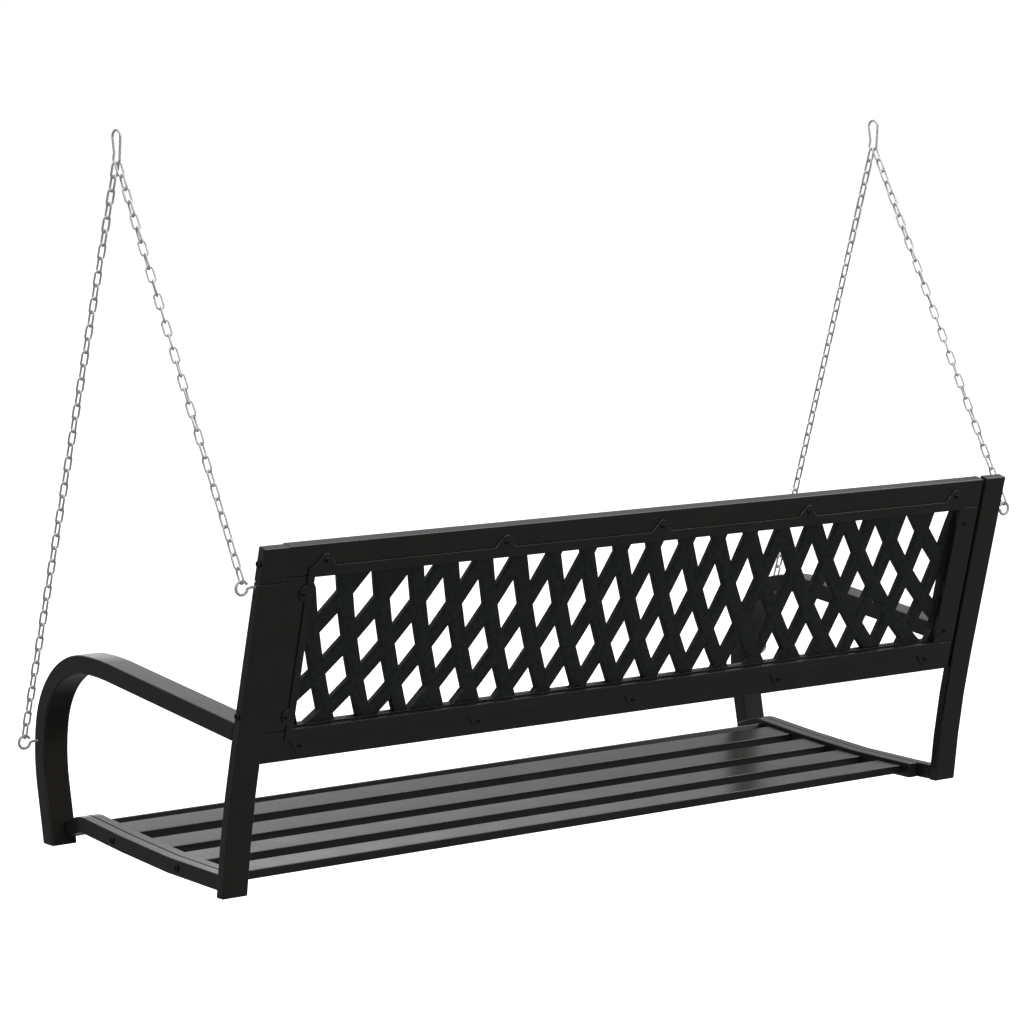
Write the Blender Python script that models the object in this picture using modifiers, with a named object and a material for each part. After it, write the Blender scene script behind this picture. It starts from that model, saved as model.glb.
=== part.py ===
"""Porch swing: a steel bench with a lattice back, hung by four chains from two snap hooks."""

from math import acos, ceil, cos, hypot, pi, radians, sin

import bmesh
import bpy

# All sizes are in metres and all turns in degrees. The seat frame has x across the bench,
# y towards its back and z up from the feet, with its zero at the foot of the rear posts.
# Its left side is the sitter's left, at +x. A profile is drawn in the y-z plane.

SIDES = {"left": 1, "right": -1}
GAP = 0.0003
WELD = 0.00001
ARC_STEP = 4.0
FLAT_ANGLE = 0.05
WIRE_SIDES = 2
PAST_END = 0.01
SIDE_VIEW = (pi / 2, 0, pi / 2)
BACK_VIEW = (pi / 2, 0, 0)
UPRIGHT = pi / 2
FLOOR = (0.0, 0.0, 0.0)

# The bench as a whole
WIDTH = 1.550
POST_WIDE = 0.0463
OUTER_X = WIDTH / 2
INNER_X = OUTER_X - POST_WIDE

# Where it hangs: the top of the hooks' inside is the origin
HANG_X = 0.7985
HANG_Y = -0.2417
HANG_HEIGHT = 1.1526

# Rear posts: a leaning foot, a long bend and a straight upper run
POST_DEEP = 0.0178
POST_FOOT = (-0.0083, 0.0)
POST_FOOT_LEAN = 5.89
BACK_LEAN = 13.97
POST_BEND_RADIUS = 1.690
POST_STRAIGHT = 0.3203
POST_PROUD = 0.0015
SEAM_ABOVE_BEND = 0.2644
TUBE_WALL = 0.0018

# Arms: the front leg and the armrest are one bent tube
ARM_DEEP = 0.0292
ARM_FOOT = (-0.5025, 0.0)
ARM_FOOT_LEAN = 11.63
ARM_RUNS = ((0.0975, 0), (0.2651, 22.5), (0.1337, 77.1), (0.4707, 9.2))
ARM_TO_POST = 0.35
PLUG_HIGH = 0.012
PLUG_WALL = 0.0030

# Seat rails: an outer and an inner one on each side, with the same side profile
RAIL_WIDE = 0.0200
RAIL_HIGH = 0.0256
RAIL_START_HEIGHT = 0.0140
RAIL_LEVEL = 0.042
RAIL_RISE_RADIUS = 2.684
RAIL_RISE = 5.76
RAIL_STRAIGHT = 0.112
NOSE_RADIUS = 0.050
NOSE_TURN = 25.5
NOSE_DROP = 0.045
INNER_RAIL_BACK_Y = -0.0445
INNER_RAIL_FRONT_Y = -0.5000

# Seat slats: four on the rise and one on the nose
SLAT_WIDE = 0.0570
SLAT_THICK = 0.0145
SLAT_HALF_LENGTH = 0.7005
SLAT_BELOW_RAIL = 0.0050
SLAT_YS = (-0.3775, -0.2825, -0.1920, -0.0900)
NOSE_SLAT_EDGE = (-0.4305, 0.0455)
LUG_WIDE = 0.0520
LUG_THICK = 0.0120
LUG_INSET = 0.0012

# Back frame, in the leaning back plane: heights run up the slope from the end of the bend
BACK_INSET = 0.0030
BACK_DEEP = 0.0200
BOTTOM_RAIL = (-0.0290, 0.0210)
TOP_RAIL = (0.2705, 0.3197)
STILE_WIDE = 0.0505
RIGHT_END_GAP = 0.0037

# Panel frame: a flange with ears and a tray wall, for the lattice that is pressed into it
FLANGE_HALF = 0.6885
FLANGE_HEIGHTS = (0.0047, 0.2850)
FLANGE_THICK = 0.0025
FLANGE_LIP = 0.0017
EAR_PLACES = (-0.660, -0.318, 0.0, 0.318, 0.660)
EAR_BASE = 0.020
EAR_RISE = 0.020
EAR_TIP_RADIUS = 0.0095
EAR_ROOT = 0.0070
EAR_SCREW_RISE = 0.0090
SIDE_EAR_RADIUS = 0.014
SIDE_EAR_PROUD = 0.0117
SIDE_EAR_HEIGHTS = (0.0449, 0.2428)
SIDE_SCREW_PROUD = 0.0055
EAR_STEPS = 6
SIDE_EAR_STEPS = 10
TRAY_CLEAR = 0.0004
TRAY_WALL = 0.0020
TRAY_FRONT = 0.0215
TRAY_STEP = 0.0009
TRAY_LIP_RISE = 0.0026
TRAY_LIP_THICK = 0.0018
LATTICE_BACK = 0.0110
LATTICE_THICK = 0.0090
WINDOW_HALF = 0.6710
WINDOW_HEIGHTS = (0.0262, 0.2624)

# The lattice's rows of diamonds are curved upwards at their ends, the lower ones more. A level
# is a row's height at the middle. At REFERENCE_LEVEL the values are as given, and each of them
# changes by its rate for every metre further down.
ROW_LEVELS = (0.2960, 0.2075, 0.1280, 0.0577, -0.0073, -0.0693)
REFERENCE_LEVEL = 0.0929
COLUMN_PITCH = (0.0733, 0.0255)
ROW_CURVE = (0.355, 0.165)
ROW_UPTURN = (0.027, 0.200)
LATTICE_SHIFT = -0.0022
OPENING_SHARE = 0.59
TIP_REACH = 0.0060
LEAST_OPENING = 0.0001
CORNER_REACH = 0.0120

# Fasteners
SCREW_HEAD = (0.0042, 0.0022)
SCREW_SHANK = (0.0016, 0.0120)
BOLT_HEAD = (0.0060, 0.0036)
BACK_BOLT_SHANK = (0.0025, 0.0600)
SEAT_BOLT_SHANK = (0.0025, 0.0320)
HOLE_CLEARANCE = 0.0004
TURNED_STEPS = 10
DOME = ((0, 1), (0.55, 0.88), (0.90, 0.50))
BACK_BOLT_HEIGHTS = (0.0520, 0.2940)
BACK_BOLT_DEPTH = 0.0105
SEAT_BOLT_YS = (-0.351, -0.165)

# Eye bolts: a shank and an open ring bent from one rod
EYE_ROD = 0.0040
EYE_RADIUS = 0.01075
EYE_SHANK_INSIDE = 0.030
EYE_OPENING = 28.0
EYE_START = 10.0
RING_STEPS = 16
EYE_REAR_DEPTH = 0.0125
EYE_REAR_HEIGHT = 0.2577
EYE_FRONT = (-0.5325, 0.1665)

# Snap hooks, seen from the side: a wide top bend, a back, a small bottom bend and a gate
HOOK_WIRE = 0.0038
HOOK_TOP_RADIUS = 0.0112
HOOK_BOTTOM_RADIUS = 0.0088
HOOK_BENDS_APART = 0.0330
HOOK_TOP_ARC = (178, -6)
HOOK_BOTTOM_ARC = (4, -192)
BEND_STEPS = 12
GATE_HINGE = (-0.0070, -0.0222)
GATE_TIP = (-0.0111, -0.0008)
GATE_KINK_GAP = 0.0013

# Chains: each is one slender rod with about the steel of its links
CHAIN_ROD = 0.0046
CHAIN_TOP_CLEAR = 0.0112
CHAIN_END_CLEAR = 0.0027

BLACK_PAINT = ((0.012, 0.011, 0.010, 1), 0.38, 0.0)
BLACK_PLASTIC = ((0.014, 0.017, 0.018, 1), 0.55, 0.0)
BLACK_FASTENER = ((0.015, 0.014, 0.013, 1), 0.35, 0.6)
ZINC = ((0.62, 0.64, 0.64, 1), 0.30, 1.0)


# ---- Scene, materials and placing ----


def clear_scene():
    for old in list(bpy.data.objects):
        bpy.data.objects.remove(old, do_unlink=True)


def new_collection(name):
    made = bpy.data.collections.new(name)
    bpy.context.scene.collection.children.link(made)
    return made


def datum(name, location=(0, 0, 0), lean=0.0, parent=None):
    """An empty that pieces are placed from."""
    empty = bpy.data.objects.new(name, None)
    parts.objects.link(empty)
    empty.location = location
    empty.rotation_euler = (-radians(lean), 0, 0)
    empty.parent = parent
    return empty


def material_for(name, look):
    colour, roughness, metallic = look
    made = bpy.data.materials.new(name)
    made.use_nodes = True
    shader = made.node_tree.nodes["Principled BSDF"]
    shader.inputs["Base Color"].default_value = colour
    shader.inputs["Roughness"].default_value = roughness
    shader.inputs["Metallic"].default_value = metallic
    return made


def place(name, data, look, parent, location=(0, 0, 0), turn=(0, 0, 0)):
    made = bpy.data.objects.new(name, data)
    parts.objects.link(made)
    made.parent = parent
    made.location = location
    made.rotation_euler = turn
    data.materials.clear()
    data.materials.append(material_for(name, look))
    return made


def as_cutter(name, data, parent, location=(0, 0, 0), turn=(0, 0, 0)):
    made = bpy.data.objects.new(name, data)
    cutters.objects.link(made)
    made.parent = parent
    made.location = location
    made.rotation_euler = turn
    made.hide_render = True
    made.display_type = "WIRE"
    return made


def add_boolean(target, other, operation="DIFFERENCE"):
    modifier = target.modifiers.new(operation.title() + " " + other.name, "BOOLEAN")
    modifier.operation = operation
    modifier.object = other
    modifier.solver = "EXACT"


# ---- Shapes ----


def box_mesh(name, low, high):
    """A box between two corners."""
    made = bmesh.new()
    bmesh.ops.create_cube(made, size=1)
    for vert in made.verts:
        for axis in range(3):
            vert.co[axis] = low[axis] if vert.co[axis] < 0 else high[axis]
    data = bpy.data.meshes.new(name)
    made.to_mesh(data)
    made.free()
    return data


def outline_mesh(name, loops, thickness):
    """The solid between closed outlines and the holes in them, thickness deep about its own z = 0."""
    curve = bpy.data.curves.new(name, "CURVE")
    curve.dimensions = "2D"
    curve.fill_mode = "BOTH"
    curve.extrude = thickness / 2
    for loop in loops:
        spline = curve.splines.new("POLY")
        spline.points.add(len(loop) - 1)
        spline.use_cyclic_u = True
        for point, (across, along) in zip(spline.points, loop):
            point.co = (across, along, 0, 1)
    holder = bpy.data.objects.new(name, curve)
    bpy.context.scene.collection.objects.link(holder)
    evaluated = holder.evaluated_get(bpy.context.evaluated_depsgraph_get())
    data = bpy.data.meshes.new_from_object(evaluated)
    bpy.data.objects.remove(holder)
    welded = bmesh.new()
    welded.from_mesh(data)
    bmesh.ops.remove_doubles(welded, verts=welded.verts, dist=WELD)
    bmesh.ops.dissolve_limit(
        welded, angle_limit=radians(FLAT_ANGLE), verts=welded.verts, edges=welded.edges
    )
    bmesh.ops.recalc_face_normals(welded, faces=welded.faces)
    welded.to_mesh(data)
    welded.free()
    return data


def turned_piece(name, head, shank, look, parent, location, turn):
    """A fastener turned about its own z: a domed head above z = 0 and a shank below it."""
    head_radius, head_high = head
    shank_radius, shank_long = shank
    dome = [(head_radius * across, head_high * up) for across, up in DOME]
    dome.append((head_radius, GAP))
    stem = [(shank_radius, GAP), (shank_radius, -shank_long), (0, -shank_long)]
    profile = bpy.data.meshes.new(name)
    points = [(across, 0, along) for across, along in dome + stem]
    profile.from_pydata(points, [(n, n + 1) for n in range(len(points) - 1)], [])
    made = place(name, profile, look, parent, location, turn)
    screw = made.modifiers.new("Turn", "SCREW")
    screw.steps = TURNED_STEPS
    screw.render_steps = TURNED_STEPS
    screw.use_merge_vertices = True
    screw.merge_threshold = WELD
    screw.use_smooth_shade = True
    return made


def rod_mesh(radius, low, high):
    """A ten-sided rod along z."""
    made = bmesh.new()
    bmesh.ops.create_cone(
        made,
        cap_ends=True,
        segments=TURNED_STEPS,
        radius1=radius,
        radius2=radius,
        depth=high - low,
    )
    bmesh.ops.translate(made, vec=(0, 0, (low + high) / 2), verts=made.verts)
    data = bpy.data.meshes.new("rod")
    made.to_mesh(data)
    made.free()
    return data


def drill(targets, name, radius, low, high, parent, location, turn):
    """Cuts one hole, along the cutter's own z from low to high, through each target."""
    cutter = as_cutter(name, rod_mesh(radius, low, high), parent, location, turn)
    for target in targets:
        add_boolean(target, cutter)


def wire(name, points, diameter, look, parent, location=(0, 0, 0)):
    """A round wire or rod along points, with closed ends."""
    curve = bpy.data.curves.new(name, "CURVE")
    curve.dimensions = "3D"
    curve.bevel_depth = diameter / 2
    curve.bevel_resolution = WIRE_SIDES
    curve.use_fill_caps = True
    spline = curve.splines.new("POLY")
    spline.points.add(len(points) - 1)
    for point, place_at in zip(spline.points, points):
        point.co = (*place_at, 1)
    return place(name, curve, look, parent, location)


# ---- Profiles in the y-z plane ----


def trace(start, heading, runs):
    """Stations (y, z, heading) along runs of (size, turn): a straight run has its length and no
    turn, and a bend has its radius and its turn, positive to the right of the way it goes."""
    y, z = start
    stations = [(y, z, heading)]
    for size, turn in runs:
        count = max(1, ceil(abs(turn) / ARC_STEP))
        bend = radians(turn) / count
        chord = 2 * size * sin(abs(bend) / 2) if turn else size
        for _ in range(count):
            y += chord * cos(heading - bend / 2)
            z += chord * sin(heading - bend / 2)
            heading -= bend
            stations.append((y, z, heading))
    return stations


def beside(station, offset):
    """The point at this distance to the left of a station."""
    y, z, heading = station
    return (y - offset * sin(heading), z + offset * cos(heading))


def ahead(station, distance):
    y, z, heading = station
    return (y + distance * cos(heading), z + distance * sin(heading), heading)


def slid_to(point, heading, face):
    """Moves a point along a heading until it lies on a face, given as a station along it."""
    y, z, along = face
    normal = (-sin(along), cos(along))
    away = (y - point[0]) * normal[0] + (z - point[1]) * normal[1]
    rate = cos(heading) * normal[0] + sin(heading) * normal[1]
    return (point[0] + away / rate * cos(heading), point[1] + away / rate * sin(heading))


def strip(stations, half, start_face=None, end_face=None):
    """The outline of a bar of this half thickness whose ends may lie on slanting faces."""
    left = [beside(station, half) for station in stations]
    right = [beside(station, -half) for station in stations]
    for end, face in ((0, start_face), (-1, end_face)):
        if face:
            heading = stations[end][2]
            left[end] = slid_to(left[end], heading, face)
            right[end] = slid_to(right[end], heading, face)
    return left + right[::-1]


def face_of(station, offset):
    """The station on a bar's face, this far to the left of its centre line."""
    return (*beside(station, offset), station[2])


post_runs = ((POST_BEND_RADIUS, BACK_LEAN - POST_FOOT_LEAN), (POST_STRAIGHT, 0))
post_line = trace(POST_FOOT, UPRIGHT - radians(POST_FOOT_LEAN), post_runs)
post_bend_end = post_line[-2]
post_front_low = face_of(post_line[0], POST_DEEP / 2 + GAP)
post_front_high = face_of(post_bend_end, POST_DEEP / 2 + GAP)

arm_runs = (*ARM_RUNS, (ARM_TO_POST, 0))
arm_line = trace(ARM_FOOT, UPRIGHT + radians(ARM_FOOT_LEAN), arm_runs)
leg_back = face_of(arm_line[0], -ARM_DEEP / 2 - GAP)

rail_runs = (
    (RAIL_LEVEL, 0),
    (RAIL_RISE_RADIUS, RAIL_RISE),
    (RAIL_STRAIGHT, 0),
    (NOSE_RADIUS, -NOSE_TURN),
    (NOSE_DROP, 0),
)
rail_start = slid_to((0.0, RAIL_START_HEIGHT), pi, post_front_low)
rail_line = trace(rail_start, pi, rail_runs)


# ---- Side frames ----


def hollow(name, target, stations, half_deep, half_wide, parent, centre_x):
    """Cuts the inside out of a tube along its stations."""
    outline = strip(stations, half_deep)
    data = outline_mesh(name, [outline], half_wide * 2)
    cutter = as_cutter(name, data, parent, (centre_x, 0, 0), SIDE_VIEW)
    add_boolean(target, cutter)


def side_piece(name, outline, low_x, high_x, look=BLACK_PAINT):
    """A piece with this side profile between two distances from the middle, on the left side
    where they are positive and on the right side where they are negative."""
    data = outline_mesh(name, [outline], abs(high_x - low_x))
    return place(name, data, look, seat, ((low_x + high_x) / 2, 0, 0), SIDE_VIEW)


def post_pieces(side, sign):
    """The rear post. The left one has a separate head block above a seam, the right one hasn't."""
    seam = ahead(post_bend_end, SEAM_ABOVE_BEND)
    proud = 0.0 if side == "left" else POST_PROUD
    top = ahead(post_bend_end, POST_STRAIGHT + proud)
    below = ahead(post_line[0], -PLUG_HIGH)
    bend = post_line[:-1]
    half_deep = POST_DEEP / 2
    inner_deep = half_deep - TUBE_WALL
    inner_wide = POST_WIDE / 2 - TUBE_WALL
    centre_x = sign * (OUTER_X - POST_WIDE / 2)
    low_x, high_x = sign * INNER_X, sign * OUTER_X
    post_top = seam if side == "left" else top
    post = side_piece(
        side + "_post", strip([*bend, post_top], half_deep, FLOOR), low_x, high_x
    )
    reach = PAST_END if side == "left" else -TUBE_WALL
    bore = [below, *bend, ahead(post_top, reach)]
    hollow(side + "_post_bore", post, bore, inner_deep, inner_wide, seat, centre_x)
    pieces = [post]
    if side == "left":
        head_line = [ahead(seam, GAP), top]
        head = side_piece(
            side + "_post_head", strip(head_line, half_deep), low_x, high_x
        )
        bore = [ahead(seam, -PAST_END), ahead(top, -TUBE_WALL)]
        hollow(side + "_head_bore", head, bore, inner_deep, inner_wide, seat, centre_x)
        pieces.append(head)
    plug_line = [post_line[0], ahead(post_line[0], PLUG_HIGH)]
    plug_half = inner_deep - GAP
    side_piece(
        side + "_post_plug",
        strip(plug_line, plug_half, FLOOR),
        centre_x - inner_wide + GAP,
        centre_x + inner_wide - GAP,
        BLACK_PLASTIC,
    )
    return pieces


def arm_piece(side, sign):
    """The front leg and armrest, with a plug in its foot."""
    half_deep = ARM_DEEP / 2
    outline = strip(arm_line, half_deep, FLOOR, post_front_high)
    arm = side_piece(side + "_arm", outline, sign * INNER_X, sign * OUTER_X)
    foot = arm_line[0]
    centre_x = sign * (OUTER_X - POST_WIDE / 2)
    socket_deep = half_deep - PLUG_WALL
    socket_wide = POST_WIDE / 2 - PLUG_WALL
    socket = [ahead(foot, -PLUG_HIGH), ahead(foot, PLUG_HIGH + 3 * GAP)]
    hollow(side + "_arm_socket", arm, socket, socket_deep, socket_wide, seat, centre_x)
    plug = strip([foot, ahead(foot, PLUG_HIGH)], socket_deep - GAP, FLOOR)
    side_piece(
        side + "_arm_plug",
        plug,
        centre_x - socket_wide + GAP,
        centre_x + socket_wide - GAP,
        BLACK_PLASTIC,
    )
    return arm


def nearest_station(stations, y):
    """The point of a route at this y, with its heading."""
    for before, after in zip(stations, stations[1:]):
        if min(before[0], after[0]) <= y <= max(before[0], after[0]):
            share = (y - before[0]) / (after[0] - before[0])
            z = before[1] + share * (after[1] - before[1])
            return (y, z, before[2] + share * (after[2] - before[2]))
    raise ValueError("no point of the route has this y")


def rail_pieces(side, sign):
    """The outer and inner seat rails, and the plug in the inner rail's back end."""
    half = RAIL_HIGH / 2
    outer = side_piece(
        side + "_side_rail",
        strip(rail_line, half, post_front_low, leg_back),
        sign * INNER_X,
        sign * (INNER_X + RAIL_WIDE),
    )
    back_face = (INNER_RAIL_BACK_Y, 0.0, UPRIGHT)
    front_face = (INNER_RAIL_FRONT_Y, 0.0, UPRIGHT)
    inner_high = INNER_X - GAP
    inner_low = inner_high - RAIL_WIDE
    inner = side_piece(
        side + "_seat_rail",
        strip(rail_line, half, back_face, front_face),
        sign * inner_low,
        sign * inner_high,
    )
    end = nearest_station(rail_line, INNER_RAIL_BACK_Y)
    centre_x = sign * (inner_low + inner_high) / 2
    socket_high, socket_wide = half - PLUG_WALL, RAIL_WIDE / 2 - PLUG_WALL
    socket = [ahead(end, -PLUG_HIGH), ahead(end, PLUG_HIGH + 3 * GAP)]
    hollow(side + "_rail_socket", inner, socket, socket_high, socket_wide, seat, centre_x)
    side_piece(
        side + "_rail_plug",
        strip([end, ahead(end, PLUG_HIGH)], socket_high - GAP),
        centre_x - socket_wide + GAP,
        centre_x + socket_wide - GAP,
        BLACK_PLASTIC,
    )
    for number, y in enumerate(SEAT_BOLT_YS, 1):
        station = nearest_station(rail_line, y)
        spot = (sign * (INNER_X + RAIL_WIDE), station[0], station[1])
        turn = (0, sign * pi / 2, 0)
        name = f"{side}_seat_bolt_{number}"
        radius, length = SEAT_BOLT_SHANK
        turned_piece(name, BOLT_HEAD, SEAT_BOLT_SHANK, BLACK_FASTENER, seat, spot, turn)
        hole = radius + HOLE_CLEARANCE
        drill([outer, inner], name + "_hole", hole, -length - GAP, PAST_END, seat, spot, turn)


# ---- Seat slats ----


def slat_piece(name, centre, tilt):
    """A slat across the seat with a slightly smaller lug at each end that reaches its rail."""
    half_wide, half_thick = SLAT_WIDE / 2, SLAT_THICK / 2
    low = (-SLAT_HALF_LENGTH, -half_wide, -half_thick)
    high = (SLAT_HALF_LENGTH, half_wide, half_thick)
    spot, turn = (0, *centre), (tilt, 0, 0)
    slat = place(name, box_mesh(name, low, high), BLACK_PAINT, seat, spot, turn)
    reach = INNER_X - RAIL_WIDE - 2 * GAP
    lug_low = -half_thick + LUG_INSET
    lug = box_mesh(
        name + "_lug",
        (-reach, -LUG_WIDE / 2, lug_low),
        (reach, LUG_WIDE / 2, lug_low + LUG_THICK),
    )
    add_boolean(slat, as_cutter(name + "_lug", lug, seat, spot, turn), "UNION")


def slats():
    drop = RAIL_HIGH / 2 - SLAT_BELOW_RAIL - SLAT_THICK / 2
    for number, y in enumerate(SLAT_YS, 2):
        station = nearest_station(rail_line, y)
        slat_piece(f"slat_{number}", beside(station, -drop), station[2] - pi)
    heading = rail_line[-1][2]
    edge = (*NOSE_SLAT_EDGE, heading)
    middle = ahead(edge, SLAT_WIDE / 2)
    slat_piece("slat_1", beside(middle, SLAT_THICK / 2), heading - pi)


# ---- Back frame, panel frame and lattice, in the leaning back plane ----


def back_box(name, low_x, high_x, heights, bore_along_x):
    """A tube of the back frame, with its inside open at both ends."""
    front, back = -BACK_INSET - BACK_DEEP, -BACK_INSET
    low, high = (low_x, front, heights[0]), (high_x, back, heights[1])
    tube = place(name, box_mesh(name, low, high), BLACK_PAINT, back_plane)
    wall = TUBE_WALL
    grow_x, grow_z = (-PAST_END, wall) if bore_along_x else (wall, -PAST_END)
    bore = box_mesh(
        name + "_bore",
        (low_x + grow_x, front + wall, heights[0] + grow_z),
        (high_x - grow_x, back - wall, heights[1] - grow_z),
    )
    add_boolean(tube, as_cutter(name + "_bore", bore, back_plane))
    return tube


def back_frame():
    inner = INNER_X - GAP
    right_end = -INNER_X + RIGHT_END_GAP
    stile_heights = (BOTTOM_RAIL[1] + GAP, TOP_RAIL[0] - GAP)
    window = INNER_X - STILE_WIDE
    return {
        "top": back_box("top_rail", right_end, inner, TOP_RAIL, True),
        "bottom": back_box("bottom_rail", right_end, inner, BOTTOM_RAIL, True),
        "left": back_box("left_stile", window, inner, stile_heights, False),
        "right": back_box("right_stile", right_end, -window, stile_heights, False),
    }


def arc_points(centre, radius, first, last, count):
    """Points on an arc from one angle to another, in radians."""
    turns = [first + (last - first) * n / count for n in range(count + 1)]
    return [(centre[0] + radius * cos(a), centre[1] + radius * sin(a)) for a in turns]


def ear(x, edge, sign):
    """A rounded triangular ear on the flange's top (sign 1) or bottom edge (sign -1)."""
    tip_rise = EAR_RISE - EAR_TIP_RADIUS
    reach = hypot(EAR_BASE, tip_rise)
    first = acos(EAR_TIP_RADIUS / reach) - acos(EAR_BASE / reach)
    arc = arc_points((0, tip_rise), EAR_TIP_RADIUS, first, pi - first, EAR_STEPS)
    points = [(EAR_BASE, 0), *arc, (-EAR_BASE, 0), (-EAR_BASE, -EAR_ROOT), (EAR_BASE, -EAR_ROOT)]
    return [(x + sign * across, edge + sign * along) for across, along in points]


def side_ear(height, sign):
    """A round ear on the flange's side at x = sign times its half width."""
    centre_x = FLANGE_HALF + SIDE_EAR_PROUD - SIDE_EAR_RADIUS
    spread = acos((FLANGE_HALF - EAR_ROOT - centre_x) / SIDE_EAR_RADIUS)
    middle = 0 if sign > 0 else pi
    centre = (sign * centre_x, height)
    return arc_points(centre, SIDE_EAR_RADIUS, middle - spread, middle + spread, SIDE_EAR_STEPS)


def all_ears():
    low, high = FLANGE_HEIGHTS
    ears = [ear(x, edge, sign) for edge, sign in ((low, -1), (high, 1)) for x in EAR_PLACES]
    ears += [side_ear(height, sign) for sign in (1, -1) for height in SIDE_EAR_HEIGHTS]
    return ears


def screw_places():
    """(x, height, the frame tube that the screw goes into) for each panel screw."""
    low, high = FLANGE_HEIGHTS
    side_x = FLANGE_HALF + SIDE_SCREW_PROUD
    places = [(x, high + EAR_SCREW_RISE, "top") for x in EAR_PLACES]
    places += [(x, low - EAR_SCREW_RISE, "bottom") for x in EAR_PLACES]
    places += [(side_x, height, "left") for height in SIDE_EAR_HEIGHTS]
    places += [(-side_x, height, "right") for height in SIDE_EAR_HEIGHTS]
    return places


def rectangle(half, low, high):
    return [(-half, low), (half, low), (half, high), (-half, high)]


def clipped(polygon, axis, limit, keep_below):
    """The part of a polygon on one side of an upright or level line."""
    kept = []
    sign = 1 if keep_below else -1
    for first, second in zip(polygon, polygon[1:] + polygon[:1]):
        a, b = sign * (limit - first[axis]), sign * (limit - second[axis])
        if a >= 0:
            kept.append(first)
        if a * b < 0:
            share = a / (a - b)
            kept.append(tuple(p + share * (q - p) for p, q in zip(first, second)))
    return kept


def area_of(polygon):
    turns = zip(polygon, polygon[1:] + polygon[:1])
    return abs(sum(a[0] * b[1] - b[0] * a[1] for a, b in turns)) / 2


def lattice_point(step, level):
    """The point of the lattice this many columns from the middle, on the row line of a level."""
    below = REFERENCE_LEVEL - level
    pitch, curve, upturn = [
        value + rate * below for value, rate in (COLUMN_PITCH, ROW_CURVE, ROW_UPTURN)
    ]
    across = step * pitch
    rise = curve * across**2 / 2 + upturn * across**4
    return (across + LATTICE_SHIFT, level + rise)


def with_corner(diamond):
    """A diamond that crosses the window's top near one side, filled out to the corner between."""
    tip, left, _, right = diamond
    limit = WINDOW_HEIGHTS[1]
    near = WINDOW_HALF - CORNER_REACH
    if tip[1] > limit and left[0] < -near and left[1] < limit:
        return [tip, (-WINDOW_HALF, limit), *diamond[1:]]
    if tip[1] > limit and right[0] > near and right[1] < limit:
        return [*diamond, (WINDOW_HALF, limit)]
    return diamond


def lattice_openings():
    """The diamond openings, row by row, cut off where the lattice meets its border."""
    found = []
    count = ceil(WINDOW_HALF / COLUMN_PITCH[0]) + 1
    for row, (top, bottom) in enumerate(zip(ROW_LEVELS, ROW_LEVELS[1:])):
        stagger = 0.0 if row % 2 else 0.5
        middle = (top + bottom) / 2
        for column in range(-count, count + 1):
            step = column + stagger
            diamond = [
                lattice_point(step, top + TIP_REACH),
                lattice_point(step - OPENING_SHARE / 2, middle),
                lattice_point(step, bottom - TIP_REACH),
                lattice_point(step + OPENING_SHARE / 2, middle),
            ]
            diamond = with_corner(diamond)
            for axis, low, high in (
                (0, -WINDOW_HALF, WINDOW_HALF),
                (1, *WINDOW_HEIGHTS),
            ):
                diamond = clipped(diamond, axis, low, False)
                diamond = clipped(diamond, axis, high, True)
            if len(diamond) > 2 and area_of(diamond) > LEAST_OPENING:
                found.append(diamond)
    return found


def back_layer(name, loops, back, front, look=None):
    """A flat layer between two depths in front of the posts' back faces, or its cutter."""
    data = outline_mesh(name, loops, front - back)
    spot = (0, -(back + front) / 2, 0)
    if look:
        return place(name, data, look, back_plane, spot, BACK_VIEW)
    return as_cutter(name, data, back_plane, spot, BACK_VIEW)


def tray_outline(inset):
    """The tray's outline, this far inside the opening of the back frame."""
    half = INNER_X - STILE_WIDE - inset
    return rectangle(half, BOTTOM_RAIL[1] + inset, TOP_RAIL[0] - inset)


def panel_frame():
    """The flange with its ears, the tray wall that reaches in from it, and the wall's inner lip
    that the lattice rests against."""
    back, front = BACK_INSET - GAP - FLANGE_THICK, BACK_INSET - GAP
    flange_loops = [
        rectangle(FLANGE_HALF, *FLANGE_HEIGHTS),
        tray_outline(TRAY_CLEAR + FLANGE_LIP),
    ]
    frame = back_layer("panel_frame", flange_loops, back, front, BLACK_PAINT)
    add_boolean(frame, back_layer("panel_ears", all_ears(), back, front), "UNION")
    tray_loops = [tray_outline(TRAY_CLEAR), tray_outline(TRAY_CLEAR + TRAY_WALL)]
    tray = back_layer("panel_tray", tray_loops, back + TRAY_STEP, TRAY_FRONT)
    add_boolean(frame, tray, "UNION")
    lip_loops = [
        tray_outline(TRAY_CLEAR + TRAY_WALL / 2),
        tray_outline(TRAY_CLEAR + TRAY_WALL + TRAY_LIP_RISE),
    ]
    lip_front = LATTICE_BACK - GAP
    lip = back_layer("panel_lip", lip_loops, lip_front - TRAY_LIP_THICK, lip_front)
    add_boolean(frame, lip, "UNION")
    return frame


def lattice_panel():
    """The plastic lattice, which fills the tray."""
    front = LATTICE_BACK + LATTICE_THICK
    plate = [tray_outline(TRAY_CLEAR + TRAY_WALL + GAP)]
    lattice = back_layer("lattice_panel", plate, LATTICE_BACK, front, BLACK_PLASTIC)
    past = LATTICE_THICK
    openings = back_layer(
        "lattice_openings", lattice_openings(), LATTICE_BACK - past, front + past
    )
    add_boolean(lattice, openings)


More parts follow.
